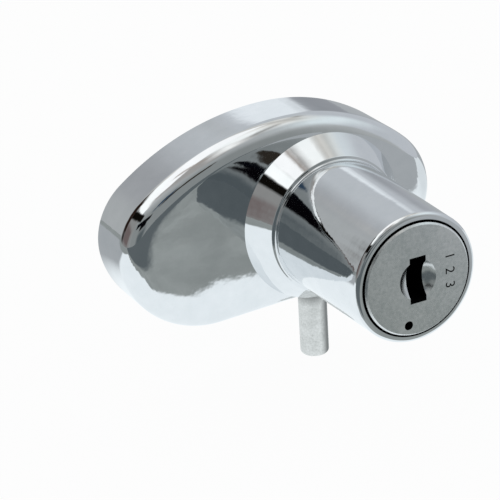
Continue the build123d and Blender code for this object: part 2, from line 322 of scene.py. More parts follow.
# %% Build the lathe
def make_lathe():
    """Node group that turns a profile of (radius, height) points round the Z axis."""
    tree, start = begin_tree("lathe", {"Profile": "Geometry", "Segments": "Int", "Finish": "Material"},
                             ("Turned", "Geometry"))
    count = add_node(tree, "GeometryNodeAttributeDomainSize", {0: start["Profile"]})
    columns = add_node(tree, "ShaderNodeMath", {0: start["Segments"], 1: 1.0}, operation="ADD")
    grid = add_node(tree, "GeometryNodeMeshGrid", {
        "Vertices X": count.outputs["Point Count"], "Vertices Y": columns})
    index = add_node(tree, "GeometryNodeInputIndex")
    place_in_grid = {0: index, 1: columns}
    ratio = add_node(tree, "ShaderNodeMath", place_in_grid, operation="DIVIDE")
    row = add_node(tree, "ShaderNodeMath", {0: ratio}, operation="FLOOR")
    column = add_node(tree, "ShaderNodeMath", place_in_grid, operation="MODULO")
    whole = add_node(tree, "FunctionNodeFloatToInt", {0: row}, rounding_mode="ROUND")
    spot = add_node(tree, "GeometryNodeInputPosition")
    sample = add_node(tree, "GeometryNodeSampleIndex", {
        "Geometry": start["Profile"], "Value": spot, "Index": whole}, data_type="FLOAT_VECTOR")
    parts = add_node(tree, "ShaderNodeSeparateXYZ", {0: sample.outputs["Value"]})
    share = add_node(tree, "ShaderNodeMath", {0: column, 1: start["Segments"]}, operation="DIVIDE")
    angle = add_node(tree, "ShaderNodeMath", {0: share, 1: 2 * pi}, operation="MULTIPLY")
    flat = []
    for wave in ("COSINE", "SINE"):
        factor = add_node(tree, "ShaderNodeMath", {0: angle}, operation=wave)
        flat.append(add_node(tree, "ShaderNodeMath", {0: parts.outputs[0], 1: factor}, operation="MULTIPLY"))
    place = add_node(tree, "ShaderNodeCombineXYZ", {0: flat[0], 1: flat[1], 2: parts.outputs[2]})
    bent = add_node(tree, "GeometryNodeSetPosition", {"Geometry": grid.outputs["Mesh"], "Position": place})
    closed = add_node(tree, "GeometryNodeMergeByDistance", {"Geometry": bent, "Distance": 0.0005 * MM})
    return end_tree(tree, closed, start["Finish"])


lathe = make_lathe()


def turned(name, profile, segments=192, upright_depth=None):
    """A solid turned about the barrel's axis, or about an upright axis at a depth in front of the glass."""
    mesh = bpy.data.meshes.new(name)
    mesh.from_pydata([(radius * MM, 0.0, height * MM) for radius, height in profile], [], [])
    obj = run_tree(link_object(name, mesh), lathe, {"Segments": segments})
    if upright_depth is None:
        obj.data.transform(Matrix.Rotation(pi / 2, 4, "X"))
    else:
        obj.data.transform(Matrix.Translation(Vector((0.0, -upright_depth, 0.0)) * MM))
    mend(obj.data, sliver=0.00001 * MM)
    return obj


print("nodes in the lathe:", len(lathe.nodes))


# %% [markdown]
# ## Rounded profiles
#
# Cast and polished corners are never sharp. This function walks along a profile and replaces each corner
# that has a radius by a short arc.

# %% Round the corners of a profile
def rounded(corners, steps=8):
    """Profile points from corners of (radius, depth, rounding)."""
    profile = []
    for i, (x, y, rounding) in enumerate(corners):
        if not rounding or i in (0, len(corners) - 1):
            profile.append((x, y))
            continue
        here = Vector((x, y))
        before = (Vector(corners[i - 1][:2]) - here).normalized()
        after = (Vector(corners[i + 1][:2]) - here).normalized()
        half = before.angle(after) / 2
        tangent = sin(half) / cos(half)
        centre = here + (before + after).normalized() * rounding / sin(half)
        first = here + before * rounding / tangent - centre
        last = here + after * rounding / tangent - centre
        sweep = atan2(first.x * last.y - first.y * last.x, first.dot(last))
        for k in range(steps + 1):
            turn = sweep * k / steps
            profile.append((centre.x + first.x * cos(turn) - first.y * sin(turn),
                            centre.y + first.x * sin(turn) + first.y * cos(turn)))
    return profile


# %% [markdown]
# ## The casting
#
# One piece of die-cast zinc: the base with its round front edge, the conical collar and the tapered barrel.
# It is polished and chrome-plated. The base is lofted from the outline, moved inwards along a quarter
# circle; the collar and barrel come from the lathe. A polishing wheel rolls over the edge and takes a few
# hundredths of a millimetre off the face beside it, so reflections start to bend before the round begins.

# %% Outside of the casting
POLISH_WIDTH, POLISH_DROP = 3.0, 0.06
COLLAR_FOOT, COLLAR_HEAD, COLLAR_TOP = 15.58, 12.7, BASE_FACE + 4.7
BARREL_FOOT, BARREL_HEAD = 12.1, 11.56


def base_solid():
    """The base from back to front: its wall, the quarter circle of its edge, and the eased face."""
    edge_rows, ease_rows = 14, 6
    edge_centre = BASE_FACE - POLISH_DROP - BASE_EDGE
    loops = [(0.0, CASTING_BACK)]
    for i in range(edge_rows + 1):
        turn = pi / 2 * i / edge_rows
        loops.append((BASE_EDGE * (1 - cos(turn)), edge_centre + BASE_EDGE * sin(turn)))
    for i in range(1, ease_rows + 1):
        share = i / ease_rows
        loops.append((BASE_EDGE + POLISH_WIDTH * i / ease_rows, BASE_FACE - POLISH_DROP * (1 - share) ** 2))
    return loft("casting", [[point(x, depth, z) for x, z in base_outline(inset)] for inset, depth in loops])


trunk_profile = rounded([
    (0.0, 6.0, 0.0), (COLLAR_FOOT, 6.0, 0.0), (COLLAR_FOOT, BASE_FACE, 0.0), (COLLAR_HEAD, COLLAR_TOP, 0.25),
    (BARREL_FOOT, COLLAR_TOP, 0.3), (BARREL_HEAD, RIM, 0.8), (FLANGE_RADIUS, RIM, 0.0), (0.0, RIM, 0.0)])
casting = base_solid()
combine(casting, [turned("trunk", trunk_profile, 240)], "UNION")
print("casting, outside:", len(casting.data.polygons), "faces")

# %% [markdown]
# The inside is cored: a room for the slider behind the face, a rebate for the back cover, bosses for the
# fixings, rails and a guide for the pin. The stepped bore of the barrel is one turned cutter. Beside it are
# two grooves for the wafers' ends when the key is out, one for the locked plug and one for the open plug.

# %% Inside of the casting
SIDE_WALL, LIP_WALL, INNER_SPACING = 2.5, 1.3, 1.5
INTO_FACE = CAVITY_FLOOR + 0.8
DISC_BORE, RING_GROOVE, PLUG_BORE, CATCH_GROOVE, FLANGE_BORE = 10.58, 11.35, 8.05, 9.25, 10.4
GROOVE_HALF, GROOVE_RADIUS = 4.4, 9.3
FIXING_HOLE, SCREW_HOLE = 1.65, 1.03

room = slab("room", base_outline(SIDE_WALL, INNER_SPACING), BEHIND_ALL, CAVITY_FLOOR)
rebate = slab("rebate", base_outline(LIP_WALL, INNER_SPACING), BEHIND_ALL, COVER_FRONT)
combine(casting, [room, rebate], "DIFFERENCE")
fittings = [slab("boss", circle(3.5, 48, x), COVER_BACK, INTO_FACE) for x in FIXING_X]
fittings += [slab("screw_boss", circle(2.2, 32, x, z), COVER_FRONT, INTO_FACE) for x, z in SCREW_PLACES]
fittings += [slab("rail", rectangle(left, left + 1.5, -10.5, 10.5), 2.8, INTO_FACE) for left in (-12.5, 11.0)]
fittings.append(slab("guide", rectangle(-5.0, 5.0, -14.35, -11.1), COVER_FRONT, INTO_FACE))
combine(casting, fittings, "UNION")
bore_profile = [
    (0.0, 9.0), (DISC_BORE, 9.0), (DISC_BORE, 10.25), (RING_GROOVE, 10.25), (RING_GROOVE, 10.95),
    (DISC_BORE, 10.95), (DISC_BORE, 13.6), (PLUG_BORE, 13.6), (PLUG_BORE, 21.15), (CATCH_GROOVE, 21.15),
    (CATCH_GROOVE, 22.75), (PLUG_BORE, 22.75), (PLUG_BORE, 41.1), (FLANGE_BORE, 41.1),
    (FLANGE_BORE, BEFORE_ALL), (0.0, BEFORE_ALL)]


def groove(quarters):
    """Cutter of a wafer groove beside the bore, turned by quarters."""
    reach = asin(GROOVE_HALF / GROOVE_RADIUS)
    turns = [reach - 2 * reach * i / 8 for i in range(9)]
    outline = [(-GROOVE_HALF, 2.0), (GROOVE_HALF, 2.0)]
    outline += [(GROOVE_RADIUS * sin(turn), GROOVE_RADIUS * cos(turn)) for turn in turns]
    for _ in range(quarters):
        outline = [(z, -x) for x, z in outline]
    return slab("groove", outline, 26.4, 38.9)


pin_bore = [(0.0, -17.0), (2.9, -17.0), (2.9, -10.0), (0.0, -10.0)]
cutters = [turned("bore", bore_profile), groove(0), groove(1), turned("pin_bore", pin_bore, 96, PIN_DEPTH)]
cutters += [slab("fixing_hole", circle(FIXING_HOLE, 48, x), 0.0, 9.0) for x in FIXING_X]
cutters += [slab("screw_hole", circle(SCREW_HOLE, 24, x, z), 0.0, 7.1) for x, z in SCREW_PLACES]
combine(casting, cutters, "DIFFERENCE")
print("casting, cored and drilled:", len(casting.data.polygons), "faces")


# %% [markdown]
# Mirror-like metal needs exact normals. Edges sharper than 25 degrees stay crisp, and the rest are smooth
# and weighted by face area, so that the large flat face keeps its own direction up to its rounded border.

# %% Shade smooth with crisp edges
def polish_normals(obj, limit=25.0):
    """Smooth shading with sharp edges where two faces meet at more than the limit, in degrees."""
    mend(obj.data, 0.0004 * MM, 0.0004 * MM, limit)
    weights = obj.modifiers.new("weights", "WEIGHTED_NORMAL")
    weights.mode = "FACE_AREA"
    weights.keep_sharp = True
    baked(obj)
    print(obj.name, "has", len(obj.data.polygons), "faces")


polish_normals(casting)


# %% [markdown]
# ## The plug
#
# The core that the key turns: a flange that fills the mouth of the barrel, a body with slots for six wafers
# and the catch, a tang at the back. Its face has the dished entry of the key slot, the small release hole
# and three stamped figures.

# %% Body of the plug
TANG, KEY_SLOT, WAFER_SLOT = (6.5, 1.5), (1.55, 4.15), (4.25, 8.5)
DISH_RADIUS, DISH_DEPTH, DISH_ARC = 3.5, 1.6, 53
SLOT_GAP = 0.05

plug_profile = rounded([
    (0.0, 13.25, 0.0), (PLUG_RADIUS, 13.25, 0.0), (PLUG_RADIUS, FLANGE_BACK, 0.0),
    (FLANGE_RADIUS, FLANGE_BACK, 0.15), (FLANGE_RADIUS, PLUG_FACE - 0.3, 0.0), (9.7, PLUG_FACE, 0.0),
    (0.0, PLUG_FACE, 0.0)], 4)
plug = turned("plug_core", plug_profile)
combine(plug, [slab("tang", oblong(*TANG), 11.05, 14.0)], "UNION")
slots = [slab("key_slot", oblong(*KEY_SLOT), 24.8, BEFORE_ALL)]
bowl = (DISH_RADIUS ** 2 + DISH_DEPTH ** 2) / (2 * DISH_DEPTH)
bowl_turns = [radians(DISH_ARC * k / 16) for k in range(17)]
bowl_arc = [(bowl * sin(turn), PLUG_FACE + bowl - DISH_DEPTH - bowl * cos(turn)) for turn in bowl_turns]
slots.append(turned("dish", bowl_arc + [(0.0, bowl_arc[-1][1])], 96))
for n in range(WAFER_COUNT):
    front = FIRST_WAFER_FRONT - WAFER_PITCH * n + SLOT_GAP
    back = front - WAFER_THICKNESS - 2 * SLOT_GAP
    slots.append(slab("wafer_slot", oblong(*WAFER_SLOT), back, front))
    slots.append(slab("spring_pocket", rectangle(4.2, 5.8, -3.2, 1.65), back, front))
slots.append(slab("release_hole", circle(0.8, 48, -2.0, -7.9), 21.4, BEFORE_ALL))
slots.append(slab("catch_slot", rectangle(-2.55, 2.55, -8.5, -3.5), 21.35, 22.65))
spring_bore = [(0.0, -4.65), (1.45, -4.65), (1.45, 0.85), (0.0, 0.85)]
slots.append(turned("spring_bore", spring_bore, 32, 22.0))
combine(plug, slots, "DIFFERENCE")
print("plug:", len(plug.data.polygons), "faces")

# %% [markdown]
# The three figures are a plain key number, struck with punches after the plating. Blender's own text makes
# the punch: it is given a thickness, made a mesh, turned to read downwards, and cut out of the face.

# %% Strike the figures
CAP_SHARE = 0.7  # height of a figure over the font's size


def punch(text, height, spacing, x, z, depth):
    """A thick text on the plug's face that reads downwards, as a cutter."""
    words = bpy.data.curves.new("punch", "FONT")
    words.body = text
    words.size = height / CAP_SHARE
    words.space_character = spacing
    words.extrude = depth * 1.2
    words.align_x, words.align_y = "CENTER", "CENTER"
    words.resolution_u = 6
    holder = link_object("punch", words)
    graph = bpy.context.evaluated_depsgraph_get()
    mesh = bpy.data.meshes.new_from_object(holder.evaluated_get(graph))
    bpy.data.objects.remove(holder)
    turn = Matrix(((0, 1, 0, x), (0, 0, -1, -PLUG_FACE - depth * 0.2), (-1, 0, 0, z), (0, 0, 0, 1)))
    mesh.transform(Matrix.Scale(MM, 4) @ turn)
    mend(mesh, merge=0.001 * MM)
    return link_object("punch", mesh)


combine(plug, [punch("123", 1.8, 2.05, 6.15, 0.1, 0.2)], "DIFFERENCE")
polish_normals(plug)

# %% [markdown]
# ## The bolt pin
#
# A plain steel pin, tumbled until it is matt. It goes up when the key turns. The guide in the casting runs
# on its thicker upper part.

# %% Bolt pin
PIN_NOSE, PIN_BODY, PIN_SPIGOT = 2.65, 2.85, 1.8

pin_profile = rounded([
    (0.0, -29.3, 0.0), (PIN_NOSE, -29.3, 0.65), (PIN_NOSE, -16.6, 0.0), (PIN_BODY, -16.6, 0.0),
    (PIN_BODY, -11.2, 0.0), (PIN_SPIGOT, -11.2, 0.0), (PIN_SPIGOT, -4.3, 0.0), (0.0, -4.3, 0.0)])
pin = turned("pin", pin_profile, 96, PIN_DEPTH)
cross_hole = slab("cross_hole", circle(0.6, 24, 0.0, -7.6), 2.0, 11.0)
combine(pin, [cross_hole], "DIFFERENCE")
polish_normals(pin)

# %% [markdown]
# ## The pad
#
# A soft sheet of rubber keeps the zinc off the glass. It follows the base's outline a little inside its lip,
# and its edges are eased by a tenth of a millimetre.

# %% Pad between the lock and the glass
pad_loops = [(1.5, 0.0), (1.4, 0.1), (1.4, 0.9), (1.5, 1.0)]
pad = loft("pad", [[point(x, depth, z) for x, z in base_outline(inset, 1.0)] for inset, depth in pad_loops])
combine(pad, [slab("pad_hole", circle(2.3, 48, x), BEHIND_ALL, 2.0) for x in FIXING_X], "DIFFERENCE")
polish_normals(pad)

# %% [markdown]
# ## Coil springs
#
# Six small springs press on the wafers and a larger one on the catch. A coil follows a rule, so Geometry
# Nodes draw it: a spiral curve with the wire as its profile. The same tree makes both sizes.

# %% Build the spring coiler
def make_coiler():
    """Node group that winds a wire into a coil that stands on the origin, along Z."""
    tree, start = begin_tree("coiler", {
        "Radius": "Float", "Wire": "Float", "Height": "Float", "Turns": "Float", "Finish": "Material"},
        ("Spring", "Geometry"))
    path = add_node(tree, "GeometryNodeCurveSpiral", {
        "Resolution": 16, "Rotations": start["Turns"], "Start Radius": start["Radius"],
        "End Radius": start["Radius"], "Height": start["Height"]})
    wire = add_node(tree, "GeometryNodeCurvePrimitiveCircle", {"Resolution": 6, "Radius": start["Wire"]})
    winding = add_node(tree, "GeometryNodeCurveToMesh", {
        "Curve": path, "Profile Curve": wire, "Fill Caps": True})
    return end_tree(tree, winding, start["Finish"])


coiler = make_coiler()


def coil(name, node, wire, turns):
    """A coil spring that fills the box of its CAD node; wire is the wire's radius in millimetres."""
    low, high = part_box(node)
    obj = link_object(name, bpy.data.meshes.new(name))
    outer = min(high.x - low.x, high.y - low.y) / 2
    run_tree(obj, coiler, {"Radius": outer - wire * MM, "Wire": wire * MM,
                           "Height": high.z - low.z - 2 * wire * MM, "Turns": turns})
    obj.data.transform(Matrix.Translation(((low.x + high.x) / 2, (low.y + high.y) / 2, low.z + wire * MM)))
    polish_normals(obj, 60.0)
    return obj


wafer_springs = [coil(f"spring_coil_{n}", f"wafer_spring_{n}", 0.075, 6.0) for n in range(1, WAFER_COUNT + 1)]
catch_spring = coil("catch_coil", "retaining_spring", 0.17, 6.0)

# %% [markdown]
# ## Cover screws
#
# Two like screws hold the back cover. One is turned on the lathe and gets a cross recess; a second tree sets
# it out on the two screw places.

# %% Set the screws out
HEAD_RADIUS, THREAD_RADIUS = 1.9, 1.0
RECESS_LONG, RECESS_SHORT = 1.1, 0.22


def make_setter():
    """Node group that puts one screw on every vertex of the object."""
    tree, start = begin_tree("set_screws_out", {
        "Places": "Geometry", "Screw": "Object", "Finish": "Material"}, ("Screws", "Geometry"))
    screw = add_node(tree, "GeometryNodeObjectInfo", {"Object": start["Screw"]})
    dots = add_node(tree, "GeometryNodeMeshToPoints", {"Mesh": start["Places"]})
    placed = add_node(tree, "GeometryNodeInstanceOnPoints", {
        "Points": dots, "Instance": screw.outputs["Geometry"]})
    return end_tree(tree, placed, start["Finish"])


screw_profile = rounded([
    (0.0, 1.0, 0.0), (HEAD_RADIUS, 1.0, 0.15), (HEAD_RADIUS, 2.0, 0.0), (THREAD_RADIUS, 2.0, 0.0),
    (THREAD_RADIUS, 6.6, 0.0), (0.6, 7.0, 0.0), (0.0, 7.0, 0.0)], 4)
one_screw = turned("one_screw", screw_profile, 48)
recess = [oblong(RECESS_LONG, RECESS_SHORT), oblong(RECESS_SHORT, RECESS_LONG)]
combine(one_screw, [slab("recess", outline, 0.5, 1.7) for outline in recess], "DIFFERENCE")
places = bpy.data.meshes.new("cross_head_screws")
places.from_pydata([point(x, 0.0, z) for x, z in SCREW_PLACES], [], [])
screws = run_tree(link_object("cross_head_screws", places), make_setter(), {"Screw": one_screw})
bpy.data.objects.remove(one_screw)
polish_normals(screws)


# %% [markdown]
# ## Materials
#
# One function turns the hex colours into linear ones. Every finish here is a metal but one, and they differ
# in colour, in how rough they are and in the marks of their making, so one function makes them all: noise
# mottles the colour and the roughness, and a bump gives the grain. The grain is a real size in millimetres,
# and a stretch draws it out along one direction, as rolling or drawing does.

# %% Colours and the general finish
def linear(hex_colour, gain=1.0):
    """Linear colour from an sRGB hex value such as #C9CBCC."""
    channels = [int(hex_colour[i:i + 2], 16) / 255 for i in (1, 3, 5)]
    return [gain * (c / 12.92 if c <= 0.04045 else ((c + 0.055) / 1.055) ** 2.4) for c in channels] + [1.0]


def make_finish(name, light, dark, roughness, grain, relief, metallic=1.0, stretch=(1, 1, 1), mottle=6.0):
    """A mottled, grained finish; roughness is a pair, grain, relief and mottle are in millimetres."""
    material = bpy.data.materials.new(name)
    material.use_nodes = True
    tree = material.node_tree
    shader = tree.nodes["Principled BSDF"]
    shader.inputs["Metallic"].default_value = metallic
    spot = add_node(tree, "ShaderNodeTexCoord", name="spot")
    drawn = add_node(tree, "ShaderNodeMapping", {"Vector": spot.outputs["Object"], "Scale": stretch})
    broad = add_node(tree, "ShaderNodeTexNoise", {
        "Vector": spot.outputs["Object"], "Scale": 1 / (mottle * MM), "Detail": 4.0, "Roughness": 0.6})
    fine = add_node(tree, "ShaderNodeTexNoise", {
        "Vector": drawn, "Scale": 1 / (grain * MM), "Detail": 2.0, "Roughness": 0.5})
    both = add_node(tree, "ShaderNodeMath", {0: broad.outputs["Fac"], 1: fine.outputs["Fac"]},
                    operation="ADD")
    marks = {"Value": both, "From Min": 0.7, "From Max": 1.3}
    share = add_node(tree, "ShaderNodeMapRange", marks)
    colour = add_node(tree, "ShaderNodeMix", {0: share, 6: linear(dark), 7: linear(light)}, data_type="RGBA")
    rough = add_node(tree, "ShaderNodeMapRange", {**marks, "To Min": roughness[0], "To Max": roughness[1]})
    bump = add_node(tree, "ShaderNodeBump", {
        "Height": fine.outputs["Fac"], "Distance": relief * MM}, name="grain")
    tree.links.new(colour.outputs[2], shader.inputs["Base Color"])
    tree.links.new(rough.outputs[0], shader.inputs["Roughness"])
    tree.links.new(bump.outputs[0], shader.inputs["Normal"])
    return material


def add_relief(material, height, distance):
    """Lay another bump over the grain; the distance is in millimetres."""
    tree = material.node_tree
    bump = add_node(tree, "ShaderNodeBump", {
        "Height": height, "Distance": distance * MM, "Normal": tree.nodes["grain"]})
    tree.links.new(bump.outputs[0], tree.nodes["Principled BSDF"].inputs["Normal"])
    return material


# %% [markdown]
# Chrome plate is a neutral mirror. Polishing leaves the zinc under it a little wavy, over millimetres, and
# that is what bends the reflections on a real casting, so the chrome gets two waves: a broad one and a short
# one. The faint change of roughness stands for handling marks.

# %% Chrome plate on the casting
def chrome_plate():
    """Chrome over polished zinc: the grain is its short wave, and a broad one is laid over it."""
    material = make_finish(
        "chrome_plate_on_zinc", "#E9EBED", "#E2E5E7", (0.02, 0.05), 2.2, 0.012, mottle=14.0)
    tree = material.node_tree
    waves = add_node(tree, "ShaderNodeTexNoise", {
        "Vector": tree.nodes["spot"].outputs["Object"], "Scale": 1 / (9 * MM), "Detail": 1.0,
        "Roughness": 0.4})
    return add_relief(material, waves.outputs["Fac"], 0.05)


# %% [markdown]
# The plug has a satin nickel face. Facing it on a lathe leaves fine rings about the axis. Real ones are a
# tenth of a millimetre apart; they are drawn at a quarter of a millimetre so that they show. Inside the
# dished entry the tool leaves a brighter surface, so those faces get a polished nickel of their own.

# %% Nickel of the plug
def satin_nickel():
    """Satin nickel with the rings of a facing tool."""
    material = make_finish("satin_nickel_plate", "#F0F1F1", "#D4D8D8", (0.24, 0.32), 0.5, 0.0008, mottle=8.0)
    tree = material.node_tree
    pitch = 0.25 * MM
    rings = add_node(tree, "ShaderNodeTexWave", {
        "Vector": tree.nodes["spot"].outputs["Object"], "Scale": 2 * pi / (20 * pitch),
        "Distortion": 1.5, "Detail": 1.0}, wave_type="RINGS", rings_direction="Y")
    return add_relief(material, rings.outputs["Fac"], 0.002)


# %% [markdown]
# The bolt pin is mild steel, tumbled with stones until it is matt. Its colour is painted darker grey down its
# right side, as painted shade, and at its top under the base, as painted shadow.

# %% Steel of the bolt pin
def bolt_steel():
    """Tumbled steel with painted shade on its right side and a painted shadow at its top."""
    material = make_finish("tumbled_steel", "#F6F6F4", "#CDCECB", (0.34, 0.48), 0.35, 0.012, mottle=1.8)
    tree = material.node_tree
    shader = tree.nodes["Principled BSDF"]
    parts = add_node(tree, "ShaderNodeSeparateXYZ", {0: tree.nodes["spot"].outputs["Object"]})
    # painted shade: the pin's colour darkens towards #767776 down its right side (painted shade) and at its
    # top under the base (painted shadow)
    right_side_shade = add_node(tree, "ShaderNodeMapRange", {
        "Value": parts.outputs[0], "From Min": 0.0, "From Max": 1.5 * MM})
    shadow_under_base = add_node(tree, "ShaderNodeMapRange", {
        "Value": parts.outputs[2], "From Min": -19 * MM, "From Max": -16 * MM})
    painted_shade_share = add_node(tree, "ShaderNodeMath", {0: right_side_shade, 1: shadow_under_base}, operation="MAXIMUM")
    unshaded_colour = shader.inputs["Base Color"].links[0].from_socket
    painted_shade_steel = add_node(tree, "ShaderNodeMix", {0: painted_shade_share, 6: unshaded_colour, 7: linear("#767776")}, data_type="RGBA")
    tree.links.new(painted_shade_steel.outputs[2], shader.inputs["Base Color"])
    return material


# %% [markdown]
# The record names one material slot for each node, so the finishes are kept by slot. Rolled sheet, stamped
# brass and drawn wire differ only in colour, grain and gloss. The rubber is the one finish without metal.

# %% All finishes, by the record's material slots
finishes = {
    "chrome_casting": chrome_plate(),
    "satin_plug": satin_nickel(),
    "bolt_steel": bolt_steel(),
    "wafer_brass": make_finish("stamped_brass", "#D9B765", "#B8934A", (0.22, 0.36), 0.3, 0.003,
                               stretch=(1, 1, 0.15)),
    "spring_steel": make_finish("drawn_spring_wire", "#A9ABAE", "#84868A", (0.25, 0.35), 0.1, 0.001),
    "zinc_block": make_finish("die_cast_zinc", "#BCBEBF", "#9C9EA0", (0.42, 0.58), 0.6, 0.006),
    "cover_steel": make_finish("zinc_plated_sheet", "#C3C8CB", "#A7ACB2", (0.24, 0.4), 0.8, 0.003,
                               stretch=(0.1, 1, 1)),
    "pad_rubber": make_finish("closed_cell_rubber", "#303133", "#232426", (0.68, 0.85), 0.4, 0.03,
                              metallic=0.0),
}
# painted shade: this near-black finish for bores, slots and struck figures is partly greased metal and partly
# painted shade in these recesses
bore_metal_and_painted_shade = make_finish("greased_bore_and_painted_shade", "#3C3D3F", "#1C1D1F", (0.4, 0.6), 0.5, 0.004)
dish_nickel = make_finish("polished_nickel_dish", "#E6E8E8", "#D2D5D5", (0.18, 0.28), 0.4, 0.003)
print("finishes:", ", ".join(material.name for material in finishes.values()))


# %% [markdown]
# ## Hand the pieces to the frame
#
# Each new piece rides on the body of the node that it stands for, and takes that node's material slot from
# the record. The node itself is hidden, but the moving model keeps it for collision.

# %% Pieces that replace nodes
slot_of = {part["node"]: part["material_slot"] for part in frame["record"]["subparts"]}


def stand_for(obj, name, node, body=None):
    """Name a piece, paint it, and let it stand for its CAD node."""
    obj.name = obj.data.name = name
    obj.data.materials.clear()
    obj.data.materials.append(finishes[slot_of[node]])
    if body:
        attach(obj, body)
    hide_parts(node)
    print(name, "stands for", node)


for obj, name, node, body in (
        (casting, "casting", "housing", "housing"),
        (plug, "plug_core", "plug", "plug"),
        (pin, "bolt_pin_body", "bolt_pin", "bolt"),
        (pad, "soft_pad", "glass_pad", "housing"),
        (screws, "cross_head_screws", "cover_screws", "housing")):
    stand_for(obj, name, node, body)

# %% [markdown]
# Only what can be polished or plated shines. The bowl of the key slot is bright. The bores, the slots and the
# bottoms of the struck figures are dull and greasy and lie in shade, so their faces get a near-black finish
# that is partly their greased metal and partly painted shade. The plug's round body keeps its nickel, because
# it is turned with the face.

# %% Bright bowl, and dull bores with painted shade
def paint_faces(obj, material, chosen):
    """Give the faces for which chosen(radius, depth, normal) is true a second material."""
    obj.data.materials.append(material)
    count = 0
    for face in obj.data.polygons:
        radius, depth = hypot(face.center.x, face.center.z) / MM, -face.center.y / MM
        if chosen(radius, depth, face.normal):
            face.material_index = len(obj.data.materials) - 1
            count += 1
    print(obj.name, "faces in", material.name, ":", count)


def in_slots(radius, depth, normal):
    """Faces of the plug that are neither its face, its chamfer nor its round body."""
    chamfer = radius > 9.6 and normal.y < -0.3
    body = 7.7 < radius < 8.1 and depth < 41.15 and hypot(normal.x, normal.z) > 0.9
    return 13.4 < depth < PLUG_FACE - 0.02 and not chamfer and not body


def in_dish(radius, depth, normal):
    """Faces of the bowl at the mouth of the key slot, which slope towards the front."""
    return radius < 3.75 and 42.4 < depth < PLUG_FACE - 0.01 and -0.985 < normal.y < -0.4


def in_bore(radius, depth, normal):
    """Faces of the barrel's bore."""
    return radius < 10.6 and 9.0 < depth < RIM - 0.02


# the slots, figures and bores get the near-black finish, partly greased metal and partly painted shade
paint_faces(plug, bore_metal_and_painted_shade, in_slots)
paint_faces(plug, dish_nickel, in_dish)
paint_faces(casting, bore_metal_and_painted_shade, in_bore)

# %% [markdown]
# A spring has one end on the plug and the other on a wafer or the catch. Here each spring takes its node's
# finish and stands for that node; it is tied to no body.

# %% The springs
for n, spring in enumerate(wafer_springs, 1):
    stand_for(spring, f"spring_coil_{n}", f"wafer_spring_{n}")
    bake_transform(spring)
stand_for(catch_spring, "catch_coil", "retaining_spring")
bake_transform(catch_spring)

# %% [markdown]
# The other nodes are plain stampings, a disc, a block and pins whose CAD shape is right. They stay as they
# are and only get a finish.

# %% Nodes that stay
for node, obj in frame["nodes"].items():
    if not obj.hide_render:
        for slot in obj.material_slots:
            slot.material = finishes[slot_of[node]]
        print(node, "keeps its shape, in", finishes[slot_of[node]].name)

# %% [markdown]
# ## Camera
#
# The camera stands up and to the left of the lock and looks down its barrel, as in the photograph. Its place
# was worked out from the circles of the plug, barrel and collar and from the base's outline.

# %% Camera
camera_data = bpy.data.cameras.new("camera")
camera = link_object("camera", camera_data)
bpy.context.scene.camera = camera
camera_data.lens = 141.6
camera_data.sensor_width = 36.0
camera_data.clip_start = 0.01
eye = Vector((-153.78, -293.63, 140.57)) * MM
azimuth, elevation, roll = radians(26.3046), radians(24.5525), radians(-3.5666)
forward = Vector((sin(azimuth) * cos(elevation), cos(azimuth) * cos(elevation), -sin(elevation)))
level = Vector((cos(azimuth), -sin(azimuth), 0.0))
upward = level.cross(forward)
right = level * cos(roll) + upward * sin(roll)
above = upward * cos(roll) - level * sin(roll)
camera.matrix_world = Matrix.Translation(eye) @ Matrix((right, above, -forward)).transposed().to_4x4()
bpy.context.scene.view_settings.view_transform = "Standard"
print("the camera looks from", eye)

# %% [markdown]
# ## Studio
#
# A mirror has no look of its own: it shows the room. So the room is designed like a product studio, as a
# sky of soft-edged cards. A card is a rectangle of one colour, placed by its azimuth (0 in front, positive to
# the right) and elevation. The camera itself sees plain white.

# %% One card of the studio
STUDIO_GAIN = 1.25  # how far the whole studio is turned up


def make_card():
    """Node group that lays a soft-edged rectangle over the colour beneath it."""
    tree, start = begin_tree("studio_card", {
        "Under": "Color", "Ray": "Vector", "Middle": "Vector", "Side": "Vector", "Up": "Vector",
        "Wide Out": "Float", "Wide In": "Float", "High Out": "Float", "High In": "Float",
        "Colour": "Color"}, ("Room", "Color"), "ShaderNodeTree")
    ahead = add_node(tree, "ShaderNodeVectorMath", {0: start["Ray"], 1: start["Middle"]},
                     operation="DOT_PRODUCT")
    shown = add_node(tree, "ShaderNodeMath", {0: ahead.outputs["Value"], 1: 0.001}, operation="GREATER_THAN")
    for label, outer, inner in (("Side", "Wide Out", "Wide In"), ("Up", "High Out", "High In")):
        across = add_node(tree, "ShaderNodeVectorMath", {0: start["Ray"], 1: start[label]},
                          operation="DOT_PRODUCT")
        angle = add_node(tree, "ShaderNodeMath", {0: across.outputs["Value"], 1: ahead.outputs["Value"]},
                         operation="ARCTAN2")
        size = add_node(tree, "ShaderNodeMath", {0: angle}, operation="ABSOLUTE")
        edge = add_node(tree, "ShaderNodeMapRange", {
            "Value": size, "From Min": start[inner], "From Max": start[outer],
            "To Min": 1.0, "To Max": 0.0}, interpolation_type="SMOOTHSTEP")
        shown = add_node(tree, "ShaderNodeMath", {0: shown, 1: edge}, operation="MULTIPLY")
    mix = add_node(tree, "ShaderNodeMix", {0: shown, 6: start["Under"], 7: start["Colour"]}, data_type="RGBA")
    add_node(tree, "NodeGroupOutput", {0: mix.outputs[2]})
    return tree


card_group = make_card()


